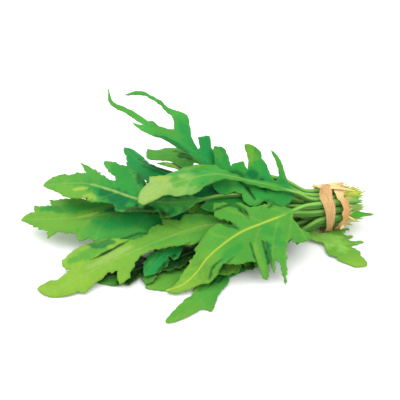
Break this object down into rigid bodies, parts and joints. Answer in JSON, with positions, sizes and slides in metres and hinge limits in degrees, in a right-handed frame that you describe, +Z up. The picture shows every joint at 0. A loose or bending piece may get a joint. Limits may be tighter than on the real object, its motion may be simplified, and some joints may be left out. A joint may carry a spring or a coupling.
{
  "type": "arugula bunch",
  "caption": "Bunch of lobed, toothed arugula leaves on long stems, tied near the cut ends with pleated raffia and lying on its side.",
  "frame": {"origin": "middle of the flat spot under the raffia tie, on the surface that the bunch lies on", "axes": "+Z up from the surface, +X along the stems towards their cut ends, -Y towards the side that the picture was taken from"},
  "size_m": [0.2155, 0.1393, 0.0826],
  "materials": {
    "pale_leaf": "satin",
    "green_leaf": "satin",
    "deep_leaf": "satin",
    "raffia": "matte"
  },
  "bodies": {
    "root": {"leaf_side_curl": "pale_leaf", "leaf_low_front": "pale_leaf", "leaf_floor_pale": "pale_leaf", "leaf_floor_dark": "deep_leaf", "leaf_rear_low": "green_leaf", "leaf_rear_floor": "green_leaf", "leaf_under_left": "deep_leaf", "leaf_under_middle": "deep_leaf", "leaf_strip": "deep_leaf", "leaf_rear_right": "green_leaf", "leaf_rear_middle": "green_leaf", "leaf_under_right": "deep_leaf", "leaf_shade": "deep_leaf", "leaf_wide_low": "green_leaf", "leaf_inner_fill": "green_leaf", "leaf_long_pale": "pale_leaf", "leaf_inner_tip": "green_leaf", "leaf_dark_back": "deep_leaf", "leaf_wide_back": "green_leaf", "leaf_flat_tip": "pale_leaf", "leaf_tendril": "deep_leaf", "leaf_comb_back": "deep_leaf", "leaf_arch": "green_leaf", "leaf_top_front": "pale_leaf", "raffia_tie": "raffia"}
  },
  "joints": []
}
